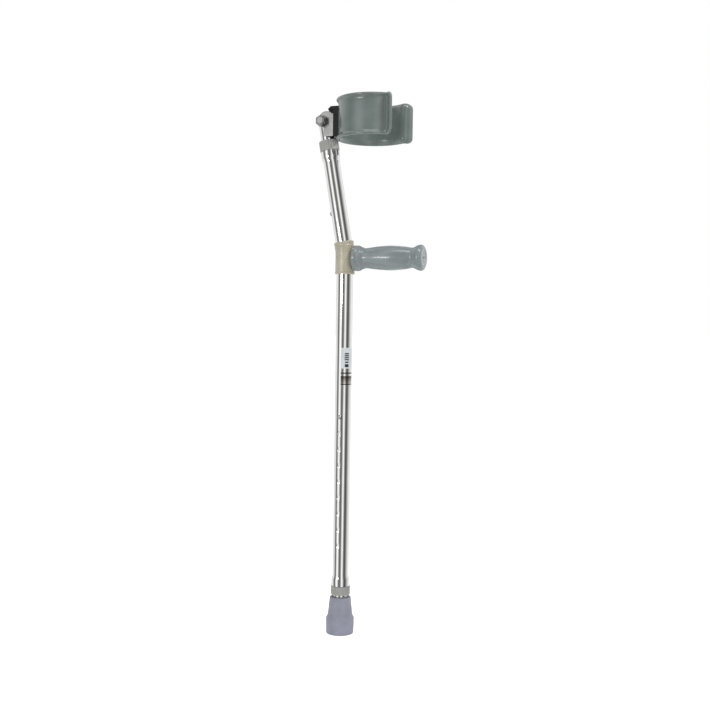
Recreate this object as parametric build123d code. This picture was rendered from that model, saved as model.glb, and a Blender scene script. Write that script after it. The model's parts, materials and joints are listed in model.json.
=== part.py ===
from build123d import *
import math
import os

# Forearm crutch with a hinged cuff, all sizes in millimetres.
# The origin is the centre of the tip's bottom face, +Z runs up the lower tube, and +X points along
# the hand grip. Above the bend the tube leans back, towards -X.

# --- main tube
tube_r = 12.7
tube_bore_r = 11.2
bend_z = 605.0
lean_deg = 10.05
bend_r = 75.0
bell_r = 14.5
bell_len = 11.0
bell_taper = 5.0
seat_r = 12.9
hole_pitch = 25.4
hole_r = 3.75

# --- lower end of the main tube, leg tube and rubber tip
main_bottom_z = 75.8
leg_r = 11.11
leg_bore_r = 9.8
leg_bottom_z = 12.2
leg_top_z = 384.0
leg_hole_count = 9
top_hole_z = 344.4
tip_height = 58.0
tip_foot_r = 22.2
tip_sole_r = 21.6
tip_foot_z = 26.0
tip_waist_r = 19.6
tip_top_r = 16.6
tip_washer_r = 10.9
tip_washer_t = 2.6
tread_depth = 2.0

# --- upper end: distances along the leaning axis, from the bend point
main_top_w = 160.5
cuff_tube_low_w = 40.0
rear_hole_w = 62.5
rear_hole_count = 4
pivot_w = 206.2
pivot_overhang = 8.5

# --- locking nuts, collets and wedge rings, measured outwards from the tube's mouth
nut_r = 15.35
nut_gap = 0.3
leg_nut_len = 13.5
cuff_nut_len = 16.2
nut_cavity_r = 12.95
nut_cavity_len = 10.2
nut_bore_r = 11.5
rib_count = 24
rib_groove = 0.7
collet_thread_r = 12.6
collet_len = 7.5
collet_slot = 1.2
collet_slot_low = 2.5
wedge_r = 12.55
wedge_low = 7.8
wedge_high = 9.9

# --- snap buttons and their leaf springs
button_r = 3.5
button_hole_r = 3.7
button_reach = 15.0
button_flange_r = 4.6
button_flange_out = 8.4
button_flange_t = 1.0
spring_t = 0.8
spring_width = 6.0
spring_arm_in = 6.9
spring_arm_back = 8.8
spring_below = 8.0
spring_above = 17.5

# --- end plugs of the inner tubes
plug_flange_t = 3.0
plug_stem_r = 9.72
plug_stem_len = 9.0

# --- handle bracket, grip and its bolt
grip_z = 594.0
sleeve_r = 15.0
sleeve_bore_r = 12.72
sleeve_bottom_z = 569.5
sleeve_top_w = 15.0
sleeve_band_r = 15.5
flange_r = 25.0
flange_x = 13.0
grip_start_x = 16.0
grip_end_x = 130.0
core_r = 8.0
core_bore_r = 6.5
core_end_x = 117.0
bolt_r = 4.0
bolt_hole_r = 4.3
bolt_head_r = 6.5
bolt_head_len = 8.0
bolt_socket_r = 3.4
bolt_socket_depth = 4.0
end_cap_r = 12.0
end_cap_t = 3.0
end_cap_hole_r = 2.4
sleeve_band_len = 3.5
boss_r = 18.0
sleeve_bar_heights = (577.5, 581.5)
sleeve_bar_t = 1.6
handle_nut_below = 9.0
handle_nut_above = 4.0
handle_nut_half = 8.0
handle_nut_inner_x = 2.0

# --- adhesive label on the lower tube
label_low_z = 389.8
label_high_z = 453.5
label_t = 0.2
label_span_deg = 107.0
label_middle_deg = -35.0

# --- cuff pivot and its bracket
pivot_r = 5.0
pivot_fit = 0.07
ear_in = 11.5
ear_t = 2.0
washer_t = 1.0
washer_r = 9.2
hex_across = 16.0
hex_len = 7.0
hex_corner_cut = 0.3
bolt_hex_len = 6.4
nut_collar_r = 7.0
nut_collar_len = 2.0
bolt_stick_out = 3.2
plate_gap = 16.0
plate_low = -23.5
plate_high = 11.5

# --- cuff
cuff_x = 43.6
cuff_z = 808.5
cuff_mid_r = 51.8
cuff_wall = 4.4
cuff_half = 22.4
flare_r = 9.0
flare_out = 3.2
neck_r = 8.0
neck_deg = 52.5
lip_deg = 70.0
lip_len = 6.5
lip_corner_r = 9.0
band_t = 1.6
band_setback = 5.0
band_edge = 2.0
block_half = 14.0
block_low_z = 784.5
block_high_z = 831.0
hump_above_pivot = 17.3
hump_back = 6.5
hump_face = 2.0
hump_slope = 4.5
rivet_r = 2.4
rivet_head_r = 5.0
rivet_head_t = 2.0
rivet_heights = (796.0, 812.0)

# --- worked out from the sizes above
lean = math.radians(lean_deg)
bend_tangent = bend_r * math.tan(lean / 2)
upper = Location((0, 0, bend_z), (0, -lean_deg, 0))
lower_end = Location((0, 0, main_bottom_z), (180, 0, 0))
upper_end = upper * Location((0, 0, main_top_w))
pivot_x = -pivot_w * math.sin(lean)
pivot_z = bend_z + pivot_w * math.cos(lean)
plate_x = pivot_x + plate_gap
cuff_back_x = cuff_x - cuff_mid_r - cuff_wall / 2
cuff_inside_x = cuff_back_x + cuff_wall


def rod(radius, low, high):
    """Cylinder on the Z axis between two heights."""
    return Pos(0, 0, (low + high) / 2) * Cylinder(radius, high - low)


def rod_x(radius, low, high, z):
    """Cylinder along X between two stations, at height z."""
    return Pos((low + high) / 2, 0, z) * Rot(0, 90, 0) * Cylinder(radius, high - low)


def rod_y(radius, low, high, x, z):
    """Cylinder along Y between two stations."""
    return Pos(x, (low + high) / 2, z) * Rot(90, 0, 0) * Cylinder(radius, high - low)


def block(x_range, y_range, z_range):
    """Box given by its low and high value on each axis."""
    size = [pair[1] - pair[0] for pair in (x_range, y_range, z_range)]
    middle = [(pair[0] + pair[1]) / 2 for pair in (x_range, y_range, z_range)]
    return Pos(*middle) * Box(*size)


def turned(points):
    """Solid of revolution about Z from (radius, z) corner points."""
    outline = make_face(Polyline(*[(r, 0, z) for r, z in points], close=True))
    return revolve(outline, Axis.Z)


def bent_rod(radius, low_z, high_w):
    """Round bar that follows the main tube's axis through the bend."""
    arc_z = bend_z - bend_tangent
    straight = rod(radius, low_z, arc_z)
    section = Pos(0, 0, arc_z) * Circle(radius)
    elbow = revolve(section, Axis((-bend_r, 0, arc_z), (0, -1, 0)), lean_deg)
    leaning = upper * rod(radius, bend_tangent, high_w)
    return straight + elbow + leaning


def leg_hole_heights():
    """Heights of the leg's adjusting holes, from the top one down."""
    return [top_hole_z - hole_pitch * i for i in range(leg_hole_count)]


def rear_hole_stations():
    """Stations of the cuff tube's adjusting holes along the leaning axis."""
    return [rear_hole_w + hole_pitch * i for i in range(rear_hole_count)]


def bell_outside():
    """Flared end of the main tube, mouth at z = 0, pointing along +Z."""
    return turned([(0, -bell_len - bell_taper), (tube_r, -bell_len - bell_taper), (bell_r, -bell_len),
                   (bell_r, -0.6), (bell_r - 0.6, 0), (0, 0)])


def bell_inside():
    """Seat for the collet inside the flared end."""
    return turned([(0, -bell_len - 2), (tube_bore_r, -bell_len - 2), (seat_r, -bell_len), (seat_r, 1),
                   (0, 1)])


def main_tube():
    """Bent tube with a flared mouth at each end and two rows of adjusting holes."""
    tube = bent_rod(tube_r, main_bottom_z + bell_len, main_top_w - bell_len)
    tube = tube + lower_end * bell_outside() + upper_end * bell_outside()
    tube = tube - bent_rod(tube_bore_r, main_bottom_z - 1, main_top_w + 1)
    tube = tube - lower_end * bell_inside() - upper_end * bell_inside()
    for z in leg_hole_heights():
        tube = tube - rod_y(hole_r, -tube_r - 1, 0, 0, z)
    for w in rear_hole_stations():
        tube = tube - upper * rod_x(hole_r, -tube_r - 1, 0, w)
    return tube - rod_x(bolt_hole_r, 0, tube_r + 1, grip_z)


def collet():
    """Split threaded insert glued into the flared end, with fingers that grip the inner tube."""
    body = turned([(tube_bore_r, -bell_len + 0.1), (seat_r - 0.05, -bell_len + 0.1), (seat_r - 0.05, 0),
                   (collet_thread_r, 0.4), (collet_thread_r, collet_len - 0.8),
                   (collet_thread_r - 0.6, collet_len), (tube_bore_r, collet_len)])
    half = collet_slot / 2
    slot = block((-tube_r - 2, tube_r + 2), (-half, half), (collet_slot_low, collet_len + 1))
    for turn in (0, 90):
        body = body - Rot(0, 0, turn) * slot
    return body


def wedge_ring():
    """Slip ring that the nut pushes against the collet's fingers."""
    return turned([(nut_bore_r, wedge_low + 0.5), (nut_bore_r + 0.4, wedge_low), (wedge_r, wedge_low),
                   (wedge_r, wedge_high), (nut_bore_r, wedge_high)])


def lock_nut(length):
    """Ribbed plastic nut, open towards the tube's mouth at z = 0."""
    edge = 0.8
    body = turned([(nut_cavity_r, nut_gap), (nut_r - edge, nut_gap), (nut_r, nut_gap + edge),
                   (nut_r, length - edge), (nut_r - edge, length), (nut_bore_r, length),
                   (nut_bore_r, nut_cavity_len), (nut_cavity_r, nut_cavity_len)])
    groove = Pos(nut_r + rib_groove / 3, 0, length / 2) * Cylinder(rib_groove, length - 4 * edge)
    for i in range(rib_count):
        body = body - Rot(0, 0, 360 * i / rib_count) * groove
    return body


def leg_tube():
    """Inner tube of the leg, with one hole for its snap button."""
    tube = rod(leg_r, leg_bottom_z, leg_top_z) - rod(leg_bore_r, leg_bottom_z - 1, leg_top_z + 1)
    return tube - rod_y(button_hole_r, -leg_r - 1, 0, 0, top_hole_z)


def snap_button():
    """Domed button that points along -Y, centred at z = 0."""
    dome = 1.2
    length = button_reach - button_flange_out + button_flange_t
    pin = turned([(0, 0), (button_flange_r, 0), (button_flange_r, button_flange_t),
                  (button_r, button_flange_t), (button_r, length - dome), (button_r - dome, length),
                  (0, length)])
    return Pos(0, -button_flange_out + button_flange_t, 0) * Rot(90, 0, 0) * pin


def leaf_spring():
    """U-shaped leaf spring behind a snap button; the bend is above the button at z = 0."""
    middle_y = (spring_arm_back - spring_arm_in) / 2
    loop_r = (spring_arm_back + spring_arm_in) / 2
    bend_place = Pos(0, middle_y, spring_above) * Rot(0, 90, 0)
    loop = bend_place * Cylinder(loop_r + spring_t / 2, spring_width)
    loop = loop - bend_place * Cylinder(loop_r - spring_t / 2, 2 * spring_width)
    half_w = spring_width / 2
    loop = loop & block((-half_w, half_w), (-20, 20), (spring_above, spring_above + 20))
    arms = [block((-half_w, half_w), (y - spring_t / 2, y + spring_t / 2), (-spring_below, spring_above))
            for y in (-spring_arm_in, spring_arm_back)]
    return loop + arms[0] + arms[1]


def end_plug():
    """Plastic glide plug: stem below z = 0 inside the tube, flange above."""
    return turned([(0, -plug_stem_len), (plug_stem_r - 0.6, -plug_stem_len),
                   (plug_stem_r, -plug_stem_len + 1), (plug_stem_r, 0), (leg_r, 0),
                   (leg_r, plug_flange_t - 1), (leg_r - 1, plug_flange_t),
                   (0, plug_flange_t)])


def tip_rubber():
    """Rubber ferrule with a wide foot, a tapered neck and two ring grooves in its sole."""
    edge = 1.5
    body = turned([(0, 0), (tip_sole_r - edge, 0), (tip_sole_r, edge), (tip_foot_r, tip_foot_z - 6),
                   (tip_foot_r, tip_foot_z - 1), (tip_foot_r - 0.8, tip_foot_z),
                   (tip_waist_r, tip_foot_z + 3), (tip_top_r + 0.2, tip_height - 0.8),
                   (tip_top_r - 0.8, tip_height), (0, tip_height)])
    floor_z = leg_bottom_z - tip_washer_t - 0.1
    body = body - rod(leg_r + 0.04, floor_z, tip_height + 1)
    for groove_r in (9.0, 15.5):
        ring = rod(groove_r + 1.2, -1, tread_depth) - rod(groove_r - 1.2, -2, tread_depth + 1)
        body = body - ring
    return body


def tip_washer():
    """Steel disc that keeps the leg tube's end from cutting through the rubber."""
    return rod(tip_washer_r, leg_bottom_z - tip_washer_t, leg_bottom_z - 0.05)


def handle_bracket():
    """Moulded sleeve around the bend with a round flange for the grip."""
    body = bent_rod(sleeve_r, sleeve_bottom_z, sleeve_top_w)
    body = body + rod(sleeve_band_r, sleeve_bottom_z, sleeve_bottom_z + sleeve_band_len)
    body = body + upper * rod(sleeve_band_r, sleeve_top_w - 2 * sleeve_band_len, sleeve_top_w)
    flange = rod_x(flange_r, flange_x, grip_start_x, grip_z)
    boss = rod_x(boss_r, 0, flange_x, grip_z)
    boss = boss & block((0, flange_x), (-sleeve_r, sleeve_r), (sleeve_bottom_z, bend_z + sleeve_top_w))
    body = body + flange + boss
    for z in sleeve_bar_heights:
        body = body + block((-6, 6), (-sleeve_band_r, -sleeve_r + 2.5), (z, z + sleeve_bar_t))
    body = body - bent_rod(sleeve_bore_r, sleeve_bottom_z - 1, sleeve_top_w + 1)
    return body - rod_x(bolt_hole_r, 0, grip_start_x + 1, grip_z)


def handle_grip():
    """Turned grip with an inner flange, a full belly and an end flange, bored for its core and bolt."""
    start = grip_start_x + 0.1
    inner_flange = [(start, core_r + 0.05), (start, 19.6), (start + 1.4, 21.0), (24.0, 21.0), (26.6, 18.4)]
    outline = Polyline(*[(x, 0, r) for x, r in inner_flange])
    waist = Spline((26.6, 0, 18.4), (36.7, 0, 15.8), (54.0, 0, 17.9), (75.0, 0, 19.2), (96.0, 0, 17.8),
                   (112.0, 0, 15.6), (118.5, 0, 17.8))
    end_flange = Spline((118.5, 0, 17.8), (123.8, 0, 20.2), (128.6, 0, 18.6), (grip_end_x, 0, 15.6))
    ledge_x = grip_end_x - end_cap_t
    close = Polyline((grip_end_x, 0, 15.6), (grip_end_x, 0, end_cap_r), (ledge_x, 0, end_cap_r),
                     (ledge_x, 0, core_r + 0.05), (start, 0, core_r + 0.05))
    face = make_face([*outline.edges(), *waist.edges(), *end_flange.edges(), *close.edges()])
    return Pos(0, 0, grip_z) * revolve(face, Axis.X)


def handle_end_cap():
    """Round cap with a small centre hole that closes the grip's open end."""
    cap = rod_x(end_cap_r - 0.05, grip_end_x - end_cap_t, grip_end_x, grip_z)
    cap = cap - rod_x(end_cap_hole_r, grip_end_x - end_cap_t - 1, grip_end_x + 1, grip_z)
    return chamfer(cap.edges().group_by(Axis.X)[-1], 0.4)


def handle_core():
    """Steel tube that stiffens the grip."""
    return rod_x(core_r, grip_start_x + 0.1, core_end_x, grip_z) - rod_x(core_bore_r, 0, grip_end_x, grip_z)


def handle_washer():
    """Washer between the core's end and the bolt's head."""
    ring = rod_x(core_r - 0.2, core_end_x + 0.02, core_end_x + 1.2, grip_z)
    return ring - rod_x(bolt_hole_r, 0, grip_end_x, grip_z)


def handle_bolt():
    """Socket head bolt that clamps the grip and the bracket to the tube."""
    head_x = core_end_x + 1.22
    bolt = rod_x(bolt_r, 0.5, head_x, grip_z) + rod_x(bolt_head_r, head_x, head_x + bolt_head_len, grip_z)
    socket = extrude(RegularPolygon(bolt_socket_r, 6), -bolt_socket_depth)
    return bolt - Pos(head_x + bolt_head_len, 0, grip_z) * Rot(0, 90, 0) * socket


def handle_nut():
    """Curved nut that sits against the inside of the main tube."""
    heights = (grip_z - handle_nut_below, grip_z + handle_nut_above)
    body = rod(tube_bore_r - 0.05, *heights)
    body = body & block((handle_nut_inner_x, tube_r), (-handle_nut_half, handle_nut_half), heights)
    return body - rod_x(bolt_r + 0.02, 0, tube_r, grip_z)


def tube_label():
    """Thin adhesive label wrapped part way round the tube."""
    ring = rod(tube_r + label_t, label_low_z, label_high_z)
    ring = ring - rod(tube_r + 0.01, label_low_z - 1, label_high_z + 1)
    far = 30.0
    half = math.radians(label_span_deg / 2)
    edge = (far * math.cos(half), far * math.sin(half))
    wedge = make_face(Polyline((0, 0), (edge[0], -edge[1]), (2 * far, 0), edge, close=True))
    sector = Pos(0, 0, label_low_z) * Rot(0, 0, label_middle_deg) * extrude(wedge, label_high_z - label_low_z)
    return ring & sector


def cuff_tube():
    """Upper inner tube, drilled for its snap button and for the cuff's pivot."""
    high = pivot_w + pivot_overhang
    tube = rod(leg_r, cuff_tube_low_w, high) - rod(leg_bore_r, cuff_tube_low_w - 1, high + 1)
    tube = tube - rod_x(button_hole_r, -leg_r - 1, 0, rear_hole_w)
    tube = tube - rod_y(pivot_r + pivot_fit, -20, 20, 0, pivot_w)
    return upper * tube


def pivot_plug():
    """Plastic plug in the top of the cuff tube, bored as the pivot's bearing."""
    high = pivot_w + pivot_overhang
    plug = rod(leg_bore_r - 0.03, pivot_w - 12, high - 0.3)
    return upper * (plug - rod_y(pivot_r + pivot_fit, -20, 20, 0, pivot_w))


def ear_outline():
    """Side shape of the bracket's ears, relative to the pivot: (x, z)."""
    front = plate_gap + ear_t
    lower = Polyline((front, 6.5), (front, plate_low), (2.0, plate_low), (2.0, -10.0))
    heel = ThreePointArc((2.0, -10.0), (-5.4, -5.8), (-7.6, 1.5))
    back = ThreePointArc((-7.6, 1.5), (-3.6, 11.4), (5.0, 15.9))
    brow = ThreePointArc((5.0, 15.9), (13.0, 13.6), (front, 6.5))
    return make_face([*lower.edges(), *heel.edges(), *back.edges(), *brow.edges()])


def cuff_bracket():
    """Plated steel channel: a flat plate behind the cuff and two rounded ears at the pivot."""
    outer = ear_in + ear_t
    ear = Plane.XZ * ear_outline()
    ears = [extrude(Pos(pivot_x, y + ear_t, pivot_z) * ear, ear_t) for y in (-outer, ear_in)]
    plate = block((plate_x, plate_x + ear_t), (-outer, outer), (pivot_z + plate_low, pivot_z + plate_high))
    body = ears[0] + ears[1] + plate
    body = body - rod_y(pivot_r + 0.05, -outer - 1, outer + 1, pivot_x, pivot_z)
    for z in rivet_heights:
        body = body - rod_x(rivet_r + 0.03, plate_x - 1, plate_x + ear_t + 1, z)
    return body


def hexagon_y(across, low, high, x, z):
    """Hexagonal bar along Y with its corners up and down."""
    face = RegularPolygon(across / math.sqrt(3), 6, rotation=30)
    return Pos(x, high, z) * Rot(90, 0, 0) * extrude(face, high - low)


def pivot_bolt():
    """Hexagon head bolt through the ears and the cuff tube."""
    face_y = ear_in + ear_t + washer_t
    head = hexagon_y(hex_across, face_y, face_y + bolt_hex_len, pivot_x, pivot_z)
    corners_r = hex_across / math.sqrt(3) - hex_corner_cut
    head = head & rod_y(corners_r, face_y, face_y + bolt_hex_len, pivot_x, pivot_z)
    return head + rod_y(pivot_r, -face_y - hex_len - bolt_stick_out, face_y, pivot_x, pivot_z)


def pivot_nut():
    """Locking nut with a round nylon collar."""
    face_y = ear_in + ear_t + washer_t
    body = hexagon_y(hex_across, -face_y - hex_len, -face_y, pivot_x, pivot_z)
    corners_r = hex_across / math.sqrt(3) - hex_corner_cut
    body = body & rod_y(corners_r, -face_y - hex_len, -face_y, pivot_x, pivot_z)
    body = body + rod_y(nut_collar_r, -face_y - hex_len - nut_collar_len, -face_y - hex_len, pivot_x, pivot_z)
    return body - rod_y(pivot_r + 0.02, -face_y - 20, 0, pivot_x, pivot_z)


def pivot_washers():
    """Plain washers under the bolt's head and the nut."""
    outer = ear_in + ear_t
    rings = []
    for low, high in ((-outer - washer_t, -outer), (outer, outer + washer_t)):
        ring = rod_y(washer_r, low + 0.02, high - 0.02, pivot_x, pivot_z)
        rings.append(ring - rod_y(pivot_r + 0.05, low - 1, high + 1, pivot_x, pivot_z))
    return Compound(children=rings)


def lip_root_and_direction():
    """Plan position where the +Y lip leaves its bend, and the way it points."""
    reach = cuff_mid_r + neck_r
    angle = math.radians(lip_deg)
    x = cuff_x + reach * math.cos(math.radians(neck_deg)) + neck_r * math.sin(angle)
    y = reach * math.sin(math.radians(neck_deg)) - neck_r * math.cos(angle)
    return Vector(x, y), Vector(math.cos(angle), math.sin(angle))


def cuff_path(lip):
    """Plan line of the cuff's wall: a long arc with a lip of the given length bent out at each end."""
    main_arc = CenterArc((cuff_x, 0), cuff_mid_r, neck_deg, 360 - 2 * neck_deg)
    reach = cuff_mid_r + neck_r
    neck_x = cuff_x + reach * math.cos(math.radians(neck_deg))
    neck_y = reach * math.sin(math.radians(neck_deg))
    neck = CenterArc((neck_x, neck_y), neck_r, neck_deg + 180, lip_deg + 90 - neck_deg)
    root, direction = lip_root_and_direction()
    half = [neck.edge(), Line(root, root + direction * lip).edge()]
    other = [mirror(part, Plane.XZ).edge() for part in half]
    return Pos(0, 0, cuff_z) * Wire([main_arc.edge(), *half, *other])


def sweep_wall(section, path):
    """Sweeps a wall section, drawn as (outwards, up), along the cuff's plan line from a lip's end."""
    start = path @ 0
    along = path % 0
    outward = Vector(along.Y, -along.X, 0)
    angle = math.radians(lip_deg)
    lip_outside = Vector(-math.sin(angle), math.copysign(math.cos(angle), start.Y), 0)
    if outward.dot(lip_outside) < 0:
        outward = outward * -1
        section = mirror(section, Plane.XZ)
    return sweep(Plane(origin=start, x_dir=outward, z_dir=along) * section, path=path)


def cover_section():
    """Section of the vinyl wall: straight in the middle, with both rims turned outwards."""
    flare_deg = math.degrees(math.acos(1 - flare_out / flare_r))
    middle = Line((0, -cuff_half), (0, cuff_half))
    upper_rim = CenterArc((flare_r, cuff_half), flare_r, 180, -flare_deg)
    lower_rim = CenterArc((flare_r, -cuff_half), flare_r, 180, flare_deg)
    spine = Wire([lower_rim.edge(), middle.edge(), upper_rim.edge()])
    return make_face(spine.offset_2d(cuff_wall / 2, kind=Kind.ARC, side=Side.BOTH))


def lip_corner():
    """What is cut away to round the upper corner of the +Y lip."""
    root, direction = lip_root_and_direction()
    tip = root + direction * (lip_len + cuff_wall / 2)
    normal = Vector(direction.Y, -direction.X, 0)
    top = cuff_half + math.sqrt(flare_r ** 2 - (flare_r - flare_out) ** 2) + cuff_wall / 2
    square = Rectangle(2 * lip_corner_r, 2 * lip_corner_r, align=(Align.MIN, Align.MIN))
    corner = square - Circle(lip_corner_r)
    plane = Plane(origin=(tip.X, tip.Y, cuff_z), x_dir=direction, z_dir=normal)
    return extrude(plane * Pos(-lip_corner_r, top - lip_corner_r) * corner, 14, both=True)


def cuff_envelope():
    """Outer shape of the vinyl cover, before its holes."""
    body = sweep_wall(cover_section(), cuff_path(lip_len))
    over = mirror(Pos(0, 0, -cuff_z) * lip_corner(), Plane.XY)
    for corner in (lip_corner(), Pos(0, 0, cuff_z) * over):
        body = body - corner - mirror(corner, Plane.XZ)
    return body


def band_solid():
    """Steel band before its holes; it stops short of the lips' ends and of the rims."""
    return sweep_wall(Rectangle(band_t, 2 * (cuff_half - band_edge)), cuff_path(lip_len - band_setback))


def without_rivet_holes(body):
    """Cuts the two rivet holes through the cuff's back wall."""
    for z in rivet_heights:
        body = body - rod_x(rivet_r + 0.03, cuff_back_x - 1, cuff_inside_x + 1, z)
    return body


def cuff_band():
    """Spring steel band inside the vinyl cover."""
    return without_rivet_holes(band_solid())


def cuff_cover():
    """Vinyl cover moulded round the steel band."""
    return without_rivet_holes(cuff_envelope() - band_solid())


def cuff_spacer():
    """Moulded block between the bracket's plate and the cuff, with a hump over the ears."""
    front_x = plate_x + ear_t
    body = block((front_x, cuff_back_x + 3), (-block_half, block_half), (block_low_z, block_high_z))
    hump_low = pivot_z + hump_above_pivot
    hump_x = plate_x - hump_back
    hump = Polyline((front_x + 1, hump_low), (hump_x, hump_low), (hump_x, hump_low + hump_face),
                    (hump_x + hump_slope, block_high_z), (front_x + 1, block_high_z), close=True)
    body = body + Pos(0, block_half, 0) * extrude(Plane.XZ * make_face(hump), 2 * block_half)
    inner = block((hump_x, front_x + 1), (-ear_in + 0.3, ear_in - 0.3),
                  (pivot_z + plate_high + 0.3, hump_low + 1))
    body = body + inner - cuff_envelope()
    for z in rivet_heights:
        body = body - rod_x(rivet_r + 0.03, front_x - 1, cuff_back_x + 4, z)
    return body


def cuff_rivets():
    """Two domed rivets through the cover, the band, the spacer and the plate."""
    rivets = []
    for z in rivet_heights:
        under_x = cuff_inside_x + 0.3
        head = rod_x(rivet_head_r, under_x, under_x + rivet_head_t, z)
        head = fillet(head.edges().sort_by(Axis.X)[-1], rivet_head_t - 0.5)
        rivets.append(head + rod_x(rivet_r, plate_x + 0.05, under_x, z))
    return Compound(children=rivets)


def all_parts():
    """Every sub-part by name, in its place."""
    button_low = Pos(0, 0, top_hole_z)
    button_rear = upper * Pos(0, 0, rear_hole_w) * Rot(0, 0, -90)
    low_plug = upper * Pos(0, 0, cuff_tube_low_w) * Rot(180, 0, 0)
    return {
        "main_tube": main_tube(),
        "tube_label": tube_label(),
        "leg_collet": lower_end * collet(),
        "leg_wedge_ring": lower_end * wedge_ring(),
        "leg_lock_nut": lower_end * lock_nut(leg_nut_len),
        "leg_tube": leg_tube(),
        "leg_end_plug": Pos(0, 0, leg_top_z) * end_plug(),
        "leg_snap_button": button_low * snap_button(),
        "leg_button_spring": button_low * leaf_spring(),
        "tip_washer": tip_washer(),
        "tip_rubber": tip_rubber(),
        "cuff_collet": upper_end * collet(),
        "cuff_wedge_ring": upper_end * wedge_ring(),
        "cuff_lock_nut": upper_end * lock_nut(cuff_nut_len),
        "cuff_tube": cuff_tube(),
        "cuff_end_plug": low_plug * end_plug(),
        "cuff_snap_button": button_rear * snap_button(),
        "cuff_button_spring": button_rear * leaf_spring(),
        "pivot_plug": pivot_plug(),
        "pivot_bolt": pivot_bolt(),
        "pivot_nut": pivot_nut(),
        "pivot_washers": pivot_washers(),
        "cuff_bracket": cuff_bracket(),
        "cuff_spacer": cuff_spacer(),
        "cuff_band": cuff_band(),
        "cuff_cover": cuff_cover(),
        "cuff_rivets": cuff_rivets(),
        "handle_bracket": handle_bracket(),
        "handle_grip": handle_grip(),
        "handle_end_cap": handle_end_cap(),
        "handle_core": handle_core(),
        "handle_washer": handle_washer(),
        "handle_bolt": handle_bolt(),
        "handle_nut": handle_nut(),
    }


def main():
    os.makedirs("parts", exist_ok=True)
    for name, shape in all_parts().items():
        export_step(shape, f"parts/{name}.step")
        print(name, round(shape.volume))


main()
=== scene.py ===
import json
import math

import bmesh
import bpy
from mathutils import Matrix, Vector


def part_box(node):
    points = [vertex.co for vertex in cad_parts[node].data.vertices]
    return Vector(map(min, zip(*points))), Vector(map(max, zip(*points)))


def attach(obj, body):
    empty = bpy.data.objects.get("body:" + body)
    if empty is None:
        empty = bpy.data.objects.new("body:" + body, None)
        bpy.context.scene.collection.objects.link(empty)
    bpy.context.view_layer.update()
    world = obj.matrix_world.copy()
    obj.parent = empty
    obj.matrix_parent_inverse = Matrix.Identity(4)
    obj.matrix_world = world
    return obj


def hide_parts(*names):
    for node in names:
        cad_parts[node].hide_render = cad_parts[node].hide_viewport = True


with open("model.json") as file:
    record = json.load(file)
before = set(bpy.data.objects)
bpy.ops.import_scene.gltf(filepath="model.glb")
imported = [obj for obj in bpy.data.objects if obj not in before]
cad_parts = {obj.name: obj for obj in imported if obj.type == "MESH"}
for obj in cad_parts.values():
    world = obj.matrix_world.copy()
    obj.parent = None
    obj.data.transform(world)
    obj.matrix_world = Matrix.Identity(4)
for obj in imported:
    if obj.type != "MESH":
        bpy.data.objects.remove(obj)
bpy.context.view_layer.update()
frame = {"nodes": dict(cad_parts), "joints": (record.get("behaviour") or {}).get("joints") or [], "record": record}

# ---------------------------------------------------------------- places, from the frame
record = frame["record"]
joints = {j["name"]: j for j in frame["joints"]}
mounts = {m["name"]: m for m in record["mounts"]}
MM = 0.001
UP = Vector((0, 0, 1))
lean_axis = Vector(joints["cuff_slide"]["axis"]).normalized()
front_axis = Vector((lean_axis.z, 0, -lean_axis.x))
lean = math.atan2(-lean_axis.x, lean_axis.z)
pivot = Vector(joints["cuff_pivot"]["pos_m"])
bend = Vector((0, 0, pivot.z - pivot.x * lean_axis.z / lean_axis.x))
grip_z = mounts["hand_grip"]["pos_m"][2]
cuff_centre = Vector(mounts["forearm_cuff"]["pos_m"])


def low(node):
    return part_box(node)[0]


def high(node):
    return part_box(node)[1]


# sizes of the visible pieces, in metres
TUBE_R = 12.7 * MM
BORE_R = 11.2 * MM
BEND_R = 75.0 * MM
BELL_R = 14.5 * MM
BELL_LEN = 11.0 * MM
BELL_TAPER = 5.0 * MM
SEAT_R = 12.9 * MM
HOLE_R = 3.75 * MM
HOLE_PITCH = 25.4 * MM
NUT_R = high("leg_lock_nut").y
NUT_BORE_R = 11.5 * MM
NUT_CAVITY_R = 12.95 * MM
NUT_CAVITY_LEN = 10.2 * MM
NUT_RIBS = 24
SLEEVE_R = 15.0 * MM
FLANGE_R = high("handle_bracket").y
CUFF_WALL = 4.4 * MM
CUFF_MID_R = 51.8 * MM
CUFF_HALF = 22.4 * MM
FLARE_R = 9.0 * MM
NECK_R = 8.0 * MM
NECK_ANGLE = math.radians(52.5)
LIP_ANGLE = math.radians(70)
LIP_LEN = 6.5 * MM
LIP_CORNER_R = 9.0 * MM

# places that follow from them
bend_tangent = BEND_R * math.tan(lean / 2)
arc_z = bend.z - bend_tangent
mouth_z = low("main_tube").z
upper_mouth = Vector(joints["cuff_nut_turn"]["pos_m"])
mouth_w = (upper_mouth - bend).length


# ---------------------------------------------------------------- mesh helpers
def new_object(name, verts, faces, body, material, smooth_deg=35, replaces=(), slot=None):
    """Makes a piece from vertices and faces, smooth except at edges sharper than smooth_deg."""
    mesh = bpy.data.meshes.new(name)
    mesh.from_pydata([tuple(v) for v in verts], [], faces)
    mesh.update()
    return finish_object(bpy.data.objects.new(name, mesh), body, material, smooth_deg, replaces)


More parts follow.
